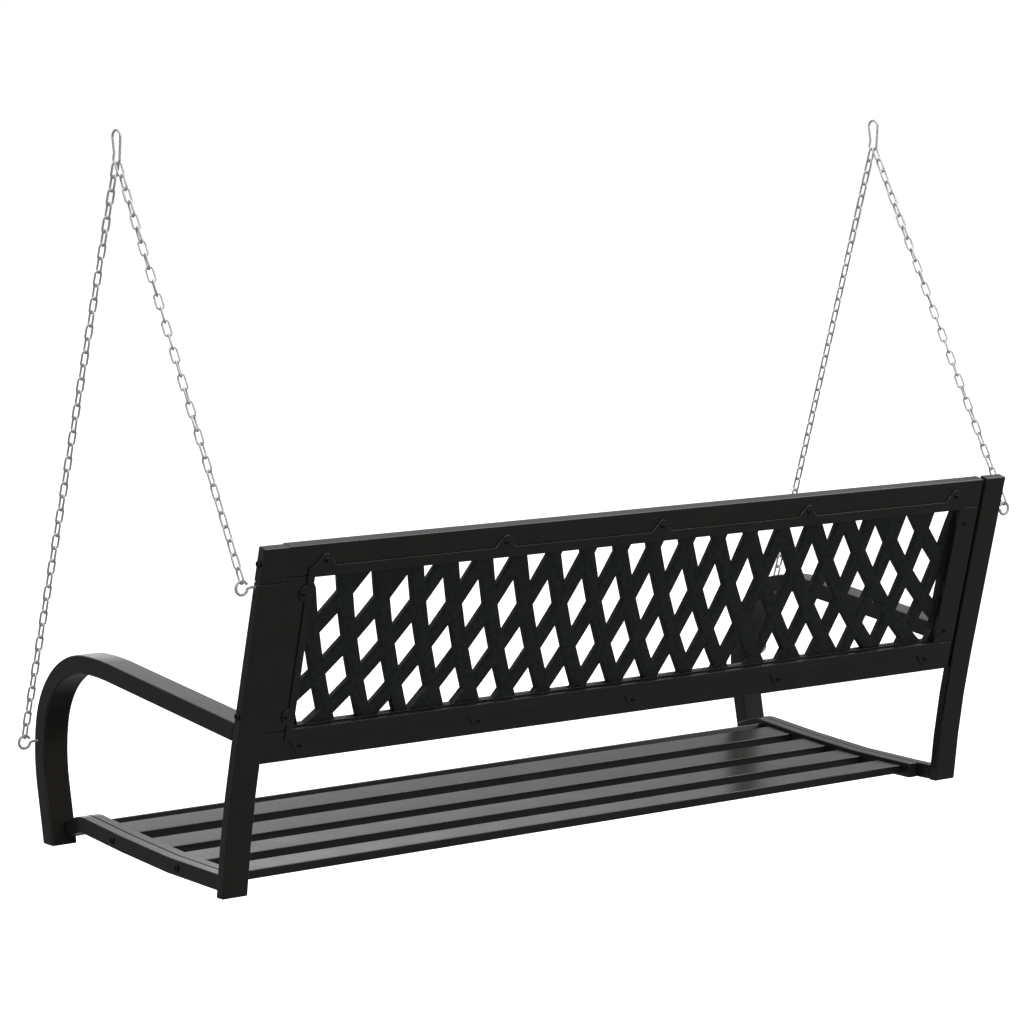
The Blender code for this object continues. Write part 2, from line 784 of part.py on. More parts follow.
def panel_screws(frame, frame_tubes):
    """The screws through the flange's ears into the back frame."""
    hole_radius = SCREW_SHANK[0] + HOLE_CLEARANCE
    depth = BACK_INSET - GAP - FLANGE_THICK
    length = SCREW_SHANK[1] + GAP
    for number, (x, height, tube) in enumerate(screw_places(), 1):
        spot, turn = (x, -depth, height), (-pi / 2, 0, 0)
        name = f"panel_screw_{number}"
        turned_piece(
            name, SCREW_HEAD, SCREW_SHANK, BLACK_FASTENER, back_plane, spot, turn
        )
        targets = [frame, frame_tubes[tube]]
        drill(
            targets, name + "_hole", hole_radius, -length, PAST_END,
            back_plane, spot, turn,
        )


def back_bolts(posts, frame_tubes):
    """Two bolts a side, through the post and into the back frame."""
    low, high = BACK_BOLT_HEIGHTS
    radius, length = BACK_BOLT_SHANK
    for side, sign in SIDES.items():
        turn = (0, sign * pi / 2, 0)
        for number, height in ((1, low), (2, high)):
            spot = (sign * OUTER_X, -BACK_BOLT_DEPTH, height)
            name = f"{side}_back_bolt_{number}"
            turned_piece(
                name, BOLT_HEAD, BACK_BOLT_SHANK, BLACK_FASTENER, back_plane, spot, turn
            )
            crossed = [posts[side][-1 if number == 2 else 0]]
            if number == 1:
                crossed.append(frame_tubes[side])
            hole = radius + HOLE_CLEARANCE
            drill(
                crossed, name + "_hole", hole, -length - GAP, PAST_END,
                back_plane, spot, turn,
            )


# ---- Eye bolts, hooks and chains ----


def eye_bolt(name, y, z, sign, target):
    """A ring that stands out of the tube's outer face, open just above its shank."""
    shank_start = OUTER_X - EYE_SHANK_INSIDE - HANG_X
    points = [(shank_start, 0, 0), (-EYE_RADIUS - EYE_ROD, 0, 0)]
    first, last = radians(180 + EYE_START), radians(540 - EYE_OPENING)
    ring = arc_points((0, 0), EYE_RADIUS, first, last, RING_STEPS)
    points += [(across, 0, up) for across, up in ring]
    points = [(sign * across, depth, up) for across, depth, up in points]
    spot = (sign * HANG_X, y, z)
    wire(name, points, EYE_ROD, ZINC, seat, spot)
    turn = (0, sign * pi / 2, 0)
    mouth = (sign * OUTER_X, y, z)
    hole = EYE_ROD / 2 + HOLE_CLEARANCE
    drill(
        [target], name + "_hole", hole, -EYE_SHANK_INSIDE - GAP, PAST_END, seat, mouth, turn
    )


def rear_eye_spot():
    """The y and z of the rear eye bolt, on the post below its seam."""
    on_back = ahead(face_of(post_bend_end, -POST_DEEP / 2), EYE_REAR_HEIGHT)
    return beside(on_back, EYE_REAR_DEPTH)


def hook_points():
    """The hook's wire from its nose over the top, down the back and round to the gate's kink,
    as (y, z) from the centre of its top bend."""
    top = arc_points((0, 0), HOOK_TOP_RADIUS, *map(radians, HOOK_TOP_ARC), BEND_STEPS)
    low = (0, -HOOK_BENDS_APART)
    bottom = arc_points(low, HOOK_BOTTOM_RADIUS, *map(radians, HOOK_BOTTOM_ARC), BEND_STEPS)
    hinge_y, hinge_z = GATE_HINGE
    tip_y, tip_z = GATE_TIP
    gate_long = hypot(tip_y - hinge_y, tip_z - hinge_z)
    step = -GATE_KINK_GAP / gate_long
    kink = (hinge_y + step * (tip_y - hinge_y), hinge_z + step * (tip_z - hinge_z))
    return [*top, *bottom, kink]


def hook_and_gate(side, sign, top_z):
    centre = (sign * HANG_X, 0, top_z)
    points = [(0, y, z) for y, z in hook_points()]
    wire(side + "_snap_hook", points, HOOK_WIRE, ZINC, None, centre)
    hinge = datum(
        side + "_gate_axis", (centre[0], GATE_HINGE[0], top_z + GATE_HINGE[1])
    )
    tip = (0, GATE_TIP[0] - GATE_HINGE[0], GATE_TIP[1] - GATE_HINGE[1])
    wire(side + "_gate", [(0, 0, 0), tip], HOOK_WIRE, ZINC, hinge)


def chain(name, ring_y, ring_z, sign, axis_height):
    """A rod from just under the hook's bottom bend to just over the eye bolt's ring."""
    rise, run = ring_z + EYE_RADIUS - axis_height, ring_y - HANG_Y
    length = hypot(rise, run)
    way = (run / length, rise / length)
    end = length - CHAIN_END_CLEAR - CHAIN_ROD / 2 * abs(way[0]) / abs(way[1])
    points = [
        (0, HANG_Y + way[0] * at, axis_height + way[1] * at)
        for at in (CHAIN_TOP_CLEAR, end)
    ]
    wire(name, points, CHAIN_ROD, ZINC, seat, (sign * HANG_X, 0, 0))


# ---- Assembly ----

clear_scene()
parts = new_collection("porch_swing")
cutters = new_collection("cutters")

hook_top_z = HOOK_WIRE / 2 - HOOK_TOP_RADIUS
swing_z = hook_top_z - HOOK_BENDS_APART
swing_axis = datum("swing_axis", (0, 0, swing_z))
seat = datum("seat_datum", (0, -HANG_Y, -HANG_HEIGHT - swing_z), parent=swing_axis)
bend_back = beside(post_bend_end, -POST_DEEP / 2)
back_plane = datum("back_datum", (0, *bend_back), BACK_LEAN, seat)

posts = {side: post_pieces(side, sign) for side, sign in SIDES.items()}
arms = {side: arm_piece(side, sign) for side, sign in SIDES.items()}
for side, sign in SIDES.items():
    rail_pieces(side, sign)
slats()
frame_tubes = back_frame()
panel = panel_frame()
panel_screws(panel, frame_tubes)
lattice_panel()
back_bolts(posts, frame_tubes)

axis_height = HANG_HEIGHT + swing_z
eyes = {"rear": rear_eye_spot(), "front": EYE_FRONT}
for side, sign in SIDES.items():
    hook_and_gate(side, sign, hook_top_z)
    for place_name, (eye_y, eye_z) in eyes.items():
        target = posts[side][0] if place_name == "rear" else arms[side]
        eye_bolt(f"{side}_{place_name}_eye_bolt", eye_y, eye_z, sign, target)
        chain(f"{side}_{place_name}_chain", eye_y, eye_z, sign, axis_height)
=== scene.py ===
from math import ceil, cos, pi, radians, sin

import bmesh
import bpy
from mathutils import Matrix, Vector
from mathutils.bvhtree import BVHTree


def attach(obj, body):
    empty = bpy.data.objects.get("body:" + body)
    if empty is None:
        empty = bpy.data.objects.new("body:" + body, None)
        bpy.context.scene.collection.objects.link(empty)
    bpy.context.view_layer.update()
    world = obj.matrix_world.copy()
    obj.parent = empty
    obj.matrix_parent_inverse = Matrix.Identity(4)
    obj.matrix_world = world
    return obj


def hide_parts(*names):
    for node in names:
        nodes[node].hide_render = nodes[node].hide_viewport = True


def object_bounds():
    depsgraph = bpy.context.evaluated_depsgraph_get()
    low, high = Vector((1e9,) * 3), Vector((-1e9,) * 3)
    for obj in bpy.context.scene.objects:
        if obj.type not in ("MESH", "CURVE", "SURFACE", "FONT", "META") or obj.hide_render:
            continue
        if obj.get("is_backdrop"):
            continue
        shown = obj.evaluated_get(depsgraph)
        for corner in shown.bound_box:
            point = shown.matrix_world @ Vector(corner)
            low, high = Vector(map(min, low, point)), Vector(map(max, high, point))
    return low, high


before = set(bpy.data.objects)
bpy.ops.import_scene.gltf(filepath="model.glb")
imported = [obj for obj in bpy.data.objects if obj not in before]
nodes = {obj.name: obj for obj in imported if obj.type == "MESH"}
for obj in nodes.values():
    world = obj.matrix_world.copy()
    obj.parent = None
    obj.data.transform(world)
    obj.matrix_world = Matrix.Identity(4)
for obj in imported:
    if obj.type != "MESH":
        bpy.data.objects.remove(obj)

# Everything is in metres, in the frame of the CAD model: x along the bench with the sitter's
# left at +x, y towards the back, z up, and the zero at the top of the hooks' inside.
cad_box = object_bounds()
SIDES = {"left": 1, "right": -1}
X_AXIS = Vector((1, 0, 0))

# Places that the frame gives only as shapes: the chains' plane, the posts' outer faces, the
# swing's axis, and the foot of the leaning back's plane with its lean
HANG_X = 0.7985
OUTER_X = 0.775
SWING_AXIS = Vector((0, 0, -0.0423))
BACK_ORIGIN = Vector((0, 0.283101, -0.920185))
BACK_LEAN = radians(13.97)
BACK_TURN = Matrix.Rotation(-BACK_LEAN, 3, "X")

# Edges: what counts as one point, as flat, as an edge to round and as a smooth surface, and how
# far a tube's hollow reaches across
SAME_POINT = 0.00002
FLAT = radians(0.05)
EDGE_TURN = radians(30)
SMOOTH_UNDER = radians(36)
INSIDE_REACH = 0.060
RAY_START = 0.0002

# Hooks, rings and chains. A bend is an arc between two angles in degrees. The gate's hinge and
# tip are (y, z) from the centre of the hook's top bend, and the hook's wire ends GATE_KINK_GAP
# below the hinge. EYES are (y, z) of the rings' centres, and LINK_TURNS are the quarter turns
# that a chain makes from its first link to its last.
HOOK_WIRE = 0.0038
HOOK_TOP_RADIUS = 0.01115
HOOK_BOTTOM_RADIUS = 0.0088
HOOK_BENDS_APART = 0.0330
HOOK_TOP_Z = -0.0093
HOOK_TOP_BEND = (182, -6)
HOOK_BOTTOM_BEND = (4, -192)
GATE_HINGE = (-0.0070, -0.0222)
GATE_TIP = (-0.0111, -0.0008)
GATE_KINK_GAP = 0.0013
GATE_STEPS = 8
EYE_ROD = 0.0046
EYE_RADIUS = 0.0103
EYE_BEND = (190, 512)
EYE_NECK = 0.0040
EYE_SHANK_INSIDE = 0.030
EYE_SHANK_STEPS = 6
EYE_STRAIGHT_POINTS = 5
EYES = {"rear": (0.333183, -0.66709), "front": (-0.2908, -0.9861)}
CHAIN_WIRE = 0.0034
LINK_WIDE = 0.0142
LINK_COUNTS = {"rear": 31, "front": 44}
LINK_TURNS = {"rear": 31, "front": 43}
LINK_BEND_STEP = 18
WIRE_BEND_STEP = 6
WIRE_SIDES = 12

# Ways to end a wire: (share of its radius, how far before its end in radii) from its full
# width on. A ball end reaches past the end point, so it turns in place.
ROUND_END = ((1.0, 0.67), (0.72, 0.22), (0.38, 0.0))
CUT_END = ((1.0, 0.20), (0.92, 0.06), (0.78, 0.0))
BALL_END = ((1.0, 0.0), (0.87, -0.50), (0.50, -0.87), (0.20, -0.98))


# ---- Materials ----


class Look:
    """A node material in the making. The colour and roughness that it starts with are close to
    those of its pattern, for a viewer that can't follow the pattern's nodes."""

    def __init__(self, name, colour, roughness, metallic, specular):
        self.material = bpy.data.materials.new(name)
        self.material.use_nodes = True
        self.tree = self.material.node_tree
        self.shader = self.tree.nodes["Principled BSDF"]
        self.shader.inputs["Base Color"].default_value = (*colour, 1)
        self.shader.inputs["Roughness"].default_value = roughness
        self.shader.inputs["Metallic"].default_value = metallic
        self.shader.inputs["Specular IOR Level"].default_value = specular
        self.place = self.node("ShaderNodeTexCoord").outputs["Object"]
        self.bump = None

    def node(self, kind, **settings):
        made = self.tree.nodes.new(kind)
        for key, value in settings.items():
            setattr(made, key, value)
        return made

    def link(self, output, target):
        self.tree.links.new(output, target)

    def stretched(self, scale):
        """The place on the object, stretched so that a pattern becomes streaks."""
        mapping = self.node("ShaderNodeMapping")
        mapping.inputs["Scale"].default_value = scale
        self.link(self.place, mapping.inputs["Vector"])
        return mapping.outputs["Vector"]

    def noise(self, scale, detail=2.0, rough=0.5, place=None):
        noise = self.node("ShaderNodeTexNoise")
        noise.inputs["Scale"].default_value = scale
        noise.inputs["Detail"].default_value = detail
        noise.inputs["Roughness"].default_value = rough
        self.link(place or self.place, noise.inputs["Vector"])
        return noise.outputs["Fac"]

    def cells(self, scale):
        cells = self.node("ShaderNodeTexVoronoi")
        cells.inputs["Scale"].default_value = scale
        self.link(self.place, cells.inputs["Vector"])
        return cells.outputs["Distance"]

    def ranged(self, value, low, high, to_low, to_high):
        ranged = self.node("ShaderNodeMapRange")
        for index, number in enumerate((low, high, to_low, to_high), 1):
            ranged.inputs[index].default_value = number
        self.link(value, ranged.inputs[0])
        return ranged.outputs[0]

    def blend(self, factor, first, second):
        """A colour between two, each a colour or an output."""
        mix = self.node("ShaderNodeMix", data_type="RGBA")
        self.link(factor, mix.inputs[0])
        for socket, colour in ((mix.inputs[6], first), (mix.inputs[7], second)):
            if isinstance(colour, tuple):
                socket.default_value = (*colour, 1)
            else:
                self.link(colour, socket)
        return mix.outputs[2]

    def dents(self, height, strength, distance):
        """Adds bumps to the surface, on top of those already there."""
        bump = self.node("ShaderNodeBump")
        bump.inputs["Strength"].default_value = strength
        bump.inputs["Distance"].default_value = distance
        self.link(height, bump.inputs["Height"])
        if self.bump:
            self.link(self.bump, bump.inputs["Normal"])
        self.bump = bump.outputs["Normal"]

    def finish(self, colour, roughness):
        """Links the colour, the roughness and the bumps to the shader."""
        self.link(colour, self.shader.inputs["Base Color"])
        self.link(roughness, self.shader.inputs["Roughness"])
        self.link(self.bump, self.shader.inputs["Normal"])
        return self.material


def upward_share(look):
    """How far a surface faces up, from 0 on a wall to 1 on a level top."""
    normal = look.node("ShaderNodeSeparateXYZ")
    look.link(look.node("ShaderNodeNewGeometry").outputs["Normal"], normal.inputs[0])
    return look.ranged(normal.outputs["Z"], 0.3, 1.0, 0.0, 1.0)


def paint_look():
    """Satin powder coat: a fine orange peel, faint cloudiness and a trace of dust on the tops."""
    look = Look("black_powder_coat", (0.020, 0.0185, 0.0160), 0.24, 0.0, 0.50)
    cloud = look.ranged(look.noise(14, 4, 0.6), 0.35, 0.65, 0.0, 1.0)
    colour = look.blend(cloud, (0.0135, 0.0121, 0.0101), (0.0180, 0.0164, 0.0140))
    speck = look.ranged(look.cells(950), 0.0, 0.22, 0.05, 0.0)
    colour = look.blend(speck, colour, (0.035, 0.033, 0.030))
    dust = look.node("ShaderNodeMath", operation="MULTIPLY")
    look.link(upward_share(look), dust.inputs[0])
    look.link(look.ranged(look.noise(38, 5, 0.7), 0.45, 0.80, 0.0, 0.04), dust.inputs[1])
    colour = look.blend(dust.outputs[0], colour, (0.10, 0.10, 0.095))
    look.dents(look.noise(160, 2, 0.5), 0.012, 0.0004)
    look.dents(look.noise(1300, 1, 0.5), 0.006, 0.0002)
    return look.finish(colour, look.ranged(look.noise(22, 3, 0.5), 0.3, 0.7, 0.25, 0.30))


def plastic_look(name, low, high, roughness, grain):
    """Moulded plastic: a fine grain over a slow unevenness."""
    look = Look(name, high, roughness, 0.0, 0.42)
    patch = look.ranged(look.noise(110, 4, 0.65), 0.38, 0.62, 0.0, 1.0)
    colour = look.blend(patch, low, high)
    streaks = look.noise(170, 5, 0.7, look.stretched((1.0, 1.0, 0.35)))
    scuff = look.ranged(streaks, 0.60, 0.75, 0.0, 0.35)
    colour = look.blend(scuff, colour, (0.035, 0.040, 0.041))
    look.dents(look.noise(120, 3, 0.6), 0.34, 0.0012)
    look.dents(look.noise(grain, 2, 0.6), 0.34, 0.0005)
    rough = look.ranged(look.noise(90, 4, 0.6), 0.3, 0.7, roughness - 0.08, roughness + 0.10)
    return look.finish(colour, rough)


def fastener_look():
    """Blackened steel: dark with a little bare metal where tools have touched it."""
    look = Look("black_fastener_steel", (0.016, 0.015, 0.014), 0.34, 0.65, 0.50)
    worn = look.ranged(look.noise(900, 4, 0.7), 0.58, 0.74, 0.0, 0.5)
    colour = look.blend(worn, (0.016, 0.015, 0.014), (0.085, 0.082, 0.078))
    look.dents(look.noise(2200, 2, 0.5), 0.15, 0.0001)
    return look.finish(colour, look.ranged(look.noise(600, 3, 0.6), 0.3, 0.7, 0.26, 0.44))


def zinc_look():
    """Dull zinc plate: small duller patches, draw marks and a faint blue cast."""
    look = Look("bright_zinc_plate", (0.66, 0.67, 0.68), 0.60, 0.20, 0.25)
    patch = look.ranged(look.noise(210, 4, 0.65), 0.38, 0.66, 0.0, 1.0)
    colour = look.blend(patch, (0.69, 0.70, 0.71), (0.62, 0.63, 0.64))
    stain = look.ranged(look.noise(620, 3, 0.7), 0.62, 0.78, 0.0, 0.4)
    colour = look.blend(stain, colour, (0.54, 0.55, 0.56))
    look.dents(look.noise(1500, 3, 0.6, look.stretched((1.0, 1.0, 0.3))), 0.03, 0.0002)
    return look.finish(colour, look.ranged(look.noise(340, 3, 0.6), 0.3, 0.7, 0.54, 0.64))


LOOKS = {
    "frame_paint": paint_look(),
    "lattice_plastic": plastic_look(
        "black_moulded_plastic", (0.0045, 0.0070, 0.0078), (0.0180, 0.0228, 0.0240), 0.42, 1100
    ),
    "plug_plastic": plastic_look(
        "black_plug_plastic", (0.012, 0.012, 0.012), (0.020, 0.020, 0.019), 0.55, 1800
    ),
    "black_fastener": fastener_look(),
    "zinc_steel": zinc_look(),
}


# ---- Adding pieces ----


def add_piece(name, made, slot, body, replaced, weighted=False):
    """Turns a bmesh into a piece of the object."""
    bmesh.ops.recalc_face_normals(made, faces=made.faces)
    data = bpy.data.meshes.new(name)
    made.to_mesh(data)
    made.free()
    data.polygons.foreach_set("use_smooth", [True] * len(data.polygons))
    data.set_sharp_from_angle(angle=SMOOTH_UNDER)
    data.materials.append(LOOKS[slot])
    piece = bpy.data.objects.new(name, data)
    bpy.context.scene.collection.objects.link(piece)
    if weighted:
        modifier = piece.modifiers.new("Even faces", "WEIGHTED_NORMAL")
        modifier.keep_sharp = True
    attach(piece, body)
    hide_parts(*replaced)
    return piece


# ---- Tubes, rails, slats and plugs: the CAD shape with its real edge radius ----


def cad_shape(node, whole=True):
    """A CAD node's mesh, with its flat faces whole again if asked."""
    made = bmesh.new()
    made.from_mesh(nodes[node].data)
    bmesh.ops.remove_doubles(made, verts=made.verts, dist=SAME_POINT)
    if whole:
        bmesh.ops.dissolve_limit(made, angle_limit=FLAT, verts=made.verts, edges=made.edges)
    made.normal_update()
    return made


def outer_faces(made):
    """The faces that look out of the piece and not across its own hollow."""
    tree = BVHTree.FromBMesh(made)
    found = set()
    for face in made.faces:
        start = face.calc_center_median() + face.normal * RAY_START
        if tree.ray_cast(start, face.normal, INSIDE_REACH)[0] is None:
            found.add(face)
    return found


def corner_edges(made, shortest):
    """The convex outer edges that are at least this long."""
    outer = outer_faces(made)
    return [
        edge
        for edge in made.edges
        if len(edge.link_faces) == 2
        and edge.is_convex
        and edge.calc_face_angle() > EDGE_TURN
        and edge.calc_length() > shortest
        and all(face in outer for face in edge.link_faces)
    ]


def bevel(made, edges, size, segments):
    """Rounds edges, or chamfers them with one segment."""
    bmesh.ops.bevel(
        made,
        geom=edges,
        offset=size,
        offset_type="OFFSET",
        segments=segments,
        profile=0.5,
        affect="EDGES",
        clamp_overlap=False,
    )


def rounded_piece(node, name, slot, radius, segments, shortest=0.0):
    """A piece of the CAD node's shape with its long outer edges rounded."""
    made = cad_shape(node)
    bevel(made, corner_edges(made, shortest), radius, segments)
    add_piece(name, made, slot, "bench", [node], weighted=True)


TUBE_SEGMENTS = 3
PLUG_ROUND = 0.0008
PLUG_SEGMENTS = 2

# Nodes, edge radius and the shortest edge that is rounded
ROUNDED = (
    (("left_post", "right_post", "left_post_head"), 0.0025, 0.0),
    (("left_arm", "right_arm"), 0.0028, 0.0),
    (("left_side_rail", "right_side_rail", "left_seat_rail", "right_seat_rail"), 0.0022, 0.0),
    (("top_rail", "bottom_rail"), 0.0022, 0.0),
    (("left_stile", "right_stile"), 0.0018, 0.0),
    (tuple(f"slat_{n}" for n in range(1, 6)), 0.0020, 0.012),
)
for names, radius, shortest in ROUNDED:
    for node in names:
        name = node + "_painted"
        rounded_piece(node, name, "frame_paint", radius, TUBE_SEGMENTS, shortest)
for kind in ("post", "arm", "rail"):
    for side in SIDES:
        node = f"{side}_{kind}_plug"
        rounded_piece(node, node + "_moulded", "plug_plastic", PLUG_ROUND, PLUG_SEGMENTS)


# ---- Panel frame and lattice ----

# Depths in front of the posts' back faces
FLANGE_BACK = 0.0002
TRAY_LIP_BACK = 0.0089
LATTICE_BACK = 0.0110
DEPTH_SLACK = 0.0003

# Radii of the flange's outer edge, its inner edge and the tray's lip, and the lattice's chamfer
RIM_ROUND = 0.0012
INNER_EDGE_ROUND = 0.0007
TRAY_LIP_ROUND = 0.0006
METAL_SEGMENTS = 3
CHAMFER = 0.0030

# The window that the lattice's openings lie in, and a slightly larger one round the flange's
# inner edge: half a width, and heights up the leaning back
WINDOW = (0.6712, 0.0260, 0.2626)
FLANGE_OPENING = (0.6800, 0.0180, 0.2740)


def in_back_plane(point):
    """A point from the foot of the leaning back, with the back turned upright."""
    return BACK_TURN.inverted() @ (point - BACK_ORIGIN)


def lies_in(edge, opening):
    """Whether the middle of an edge is in an opening of the leaning back."""
    half, low, high = opening
    middle = in_back_plane((edge.verts[0].co + edge.verts[1].co) / 2)
    return abs(middle.x) < half and low < middle.z < high


def edges_at(made, depth):
    """The convex edges that lie this far in front of the posts' back faces."""
    return [
        edge
        for edge in made.edges
        if len(edge.link_faces) == 2
        and edge.is_convex
        and edge.calc_face_angle() > EDGE_TURN
        and all(abs(in_back_plane(v.co).y + depth) < DEPTH_SLACK for v in edge.verts)
    ]


def long_enough(edges, size):
    """The edges that are longer than a bevel of this size takes away."""
    return [edge for edge in edges if edge.calc_length() > size * 2]


def panel_frame():
    made = cad_shape("panel_frame")
    for is_inner, size in ((True, INNER_EDGE_ROUND), (False, RIM_ROUND)):
        edges = [e for e in edges_at(made, FLANGE_BACK) if lies_in(e, FLANGE_OPENING) is is_inner]
        bevel(made, long_enough(edges, size), size, METAL_SEGMENTS)
    lip = long_enough(edges_at(made, TRAY_LIP_BACK), TRAY_LIP_ROUND)
    bevel(made, lip, TRAY_LIP_ROUND, METAL_SEGMENTS)
    node = "panel_frame"
    add_piece(node + "_painted", made, "frame_paint", "bench", [node], weighted=True)


def lattice_panel():
    made = cad_shape("lattice_panel", whole=False)
    edges = [edge for edge in edges_at(made, LATTICE_BACK) if lies_in(edge, WINDOW)]
    bevel(made, edges, CHAMFER, 1)
    node = "lattice_panel"
    add_piece(node + "_moulded", made, "lattice_plastic", "bench", [node], weighted=True)


panel_frame()
lattice_panel()


# ---- Screws and bolts ----

TURN_STEPS = 36
SAME_HEIGHT = 0.0001

# The recess, as shares of its size, and the small round at its mouth
CROSS_ARM_SHARE = 0.30
RECESS_FLOOR_SHARE = 0.72
RECESS_WALL_SHARE = 0.97
RECESS_ROUND = 0.0002

# The dome, as shares of the head's radius, and its rim above the surface
DOME_SHARES = (0.62, 0.74, 0.85, 0.93, 0.98, 1.0)
DOME_START = 0.45
RIM_HIGH = 0.0003
RIM_UNDER_SHARE = 0.985
RIM_GAP = 0.0001

# The thread's depth as a share of its pitch, and the shank's tip as a share of its radius
THREAD_DEEP_SHARE = 0.28
TIP_SHARE = 0.55


def cross_recess(angle, size):
    """The distance from the middle to the outline of a cross-shaped recess."""
    arm = size * CROSS_ARM_SHARE
    across = max(abs(sin(angle)), abs(cos(angle)))
    along = min(abs(sin(angle)), abs(cos(angle)))
    return min(size / across, arm / along if along > 0 else size)


def hex_recess(angle, size):
    """The distance from the middle to the outline of a six-sided socket."""
    sector = radians(60)
    return size / cos((angle % sector) - sector / 2)


def ring(made, radius_at, height):
    """A level ring of vertices, with a radius that may change with the angle."""
    angles = [2 * pi * step / TURN_STEPS for step in range(TURN_STEPS)]
    outline = [(radius_at(a) * cos(a), radius_at(a) * sin(a), height) for a in angles]
    return [made.verts.new(point) for point in outline]


def band(made, first, second):
    """Faces between two rings."""
    for step in range(len(first)):
        after = (step + 1) % len(first)
        made.faces.new((first[step], first[after], second[after], second[step]))


def skin(made, rings):
    """Faces between rings one after another, with the first and last ones closed."""
    for first, second in zip(rings, rings[1:]):
        band(made, first, second)
    made.faces.new(rings[0][::-1])
    made.faces.new(rings[-1])


def fastener_shape(head_radius, head_high, recess, recess_size, recess_deep, shank, long, pitch):
    """A domed head with a recess above z = 0 and a threaded shank below it."""
    made = bmesh.new()
    floor_high = head_high - recess_deep
    rings = [
        ring(made, lambda a: recess(a, recess_size) * RECESS_FLOOR_SHARE, floor_high),
        ring(made, lambda a: recess(a, recess_size) * RECESS_WALL_SHARE, head_high - RECESS_ROUND),
        ring(made, lambda a: recess(a, recess_size), head_high),
    ]
    for share in DOME_SHARES:
        across = (share - DOME_START) / (1 - DOME_START)
        height = RIM_HIGH + (head_high - RIM_HIGH) * max(0.0, 1 - across**2) ** 0.5
        rings.append(ring(made, lambda a, s=share: head_radius * s, height))
    rings.append(ring(made, lambda a: head_radius * RIM_UNDER_SHARE, RIM_GAP))
    rings.append(ring(made, lambda a: shank, RIM_GAP))
    depth = pitch
    while depth < long - pitch:
        rings.append(ring(made, lambda a: shank - pitch * THREAD_DEEP_SHARE, -depth))
        rings.append(ring(made, lambda a: shank, -depth - pitch / 2))
        depth += pitch
    rings.append(ring(made, lambda a: shank * TIP_SHARE, -long))
    skin(made, rings)
    return made


def fit_fastener(node, axis, sizes, turn):
    """Puts a fastener where its CAD node is, along its axis out of the surface."""
    made = fastener_shape(**sizes)
    points = [vert.co for vert in nodes[node].data.vertices]
    highest = max(point.dot(axis) for point in points)
    top = [point for point in points if highest - point.dot(axis) < SAME_HEIGHT]
    spot = sum(top, Vector()) / len(top) - axis * sizes["head_high"]
    place = axis.to_track_quat("Z", "Y").to_matrix() @ Matrix.Rotation(turn, 3, "Z")
    bmesh.ops.transform(made, matrix=Matrix.Translation(spot) @ place.to_4x4(), verts=made.verts)
    add_piece(node + "_turned", made, "black_fastener", "bench", [node])


SCREW = {
    "head_radius": 0.0042,
    "head_high": 0.0022,
    "recess": cross_recess,
    "recess_size": 0.0021,
    "recess_deep": 0.0013,
    "shank": 0.0016,
    "long": 0.0120,
    "pitch": 0.0010,
}
BACK_BOLT = {
    "head_radius": 0.0060,
    "head_high": 0.0036,
    "recess": hex_recess,
    "recess_size": 0.0021,
    "recess_deep": 0.0020,
    "shank": 0.0025,
    "long": 0.0600,
    "pitch": 0.0012,
}
SEAT_BOLT = {**BACK_BOLT, "long": 0.0320}
PANEL_SCREWS = 14

# A fastener is turned by its number times this, so that no two recesses look lined up.
ODD_TURN = radians(37)

back_normal = BACK_TURN @ Vector((0, 1, 0))
for number in range(1, PANEL_SCREWS + 1):
    fit_fastener(f"panel_screw_{number}", back_normal, SCREW, number * ODD_TURN)
for side, sign in SIDES.items():
    for number in (1, 2):
        for kind, sizes in (("back", BACK_BOLT), ("seat", SEAT_BOLT)):
            node = f"{side}_{kind}_bolt_{number}"
            fit_fastener(node, X_AXIS * sign, sizes, number * ODD_TURN)


# ---- Wire pieces ----


def arc(centre, radius, first, last, step=WIRE_BEND_STEP):
    """Points on an arc between two angles in degrees."""
    count = ceil(abs(last - first) / step)
    angles = [radians(first + (last - first) * n / count) for n in range(count + 1)]
    return [(centre[0] + radius * cos(a), centre[1] + radius * sin(a)) for a in angles]


def eased(points, rounds=2):
    """Cuts the corners of an open line, and keeps its ends."""
    for _ in range(rounds):
        cut = [points[0]]
        for first, second in zip(points, points[1:]):
            cut += [first.lerp(second, 0.25), first.lerp(second, 0.75)]
        points = [*cut, points[-1]]
    return points


def wire_rings(made, points, radii, normal, closed):
    """Rings of a round wire along points that lie in one plane, whose normal is given."""
    rings = []
    count = len(points)
    turns = [2 * pi * step / WIRE_SIDES for step in range(WIRE_SIDES)]
    for n, (point, radius) in enumerate(zip(points, radii)):
        before = points[n - 1] if n or closed else point
        after = points[(n + 1) % count] if n < count - 1 or closed else point
        way = (after - before).normalized()
        side = normal.cross(way).normalized()
        up = way.cross(side)
        outline = [point + radius * (cos(t) * side + sin(t) * up) for t in turns]
        rings.append([made.verts.new(spot) for spot in outline])
    return rings


def open_wire(made, points, diameter, normal, first_end=ROUND_END, last_end=ROUND_END):
    """A round wire with its two ends shaped as said."""
    radius = diameter / 2
    first_way = (points[0] - points[1]).normalized()
    last_way = (points[-1] - points[-2]).normalized()
    head = [points[0] - first_way * radius * before for _, before in reversed(first_end)]
    tail = [points[-1] - last_way * radius * before for _, before in last_end]
    line = [*head, *points[1:-1], *tail]
    shares = [
        *(share for share, _ in reversed(first_end)),
        *[1.0] * (len(points) - 2),
        *(share for share, _ in last_end),
    ]
    skin(made, wire_rings(made, line, [radius * share for share in shares], normal, False))


def closed_wire(made, points, diameter, normal):
    """A round wire whose last point joins its first."""
    rings = wire_rings(made, points, [diameter / 2] * len(points), normal, True)
    for first, second in zip(rings, rings[1:] + rings[:1]):
        band(made, first, second)


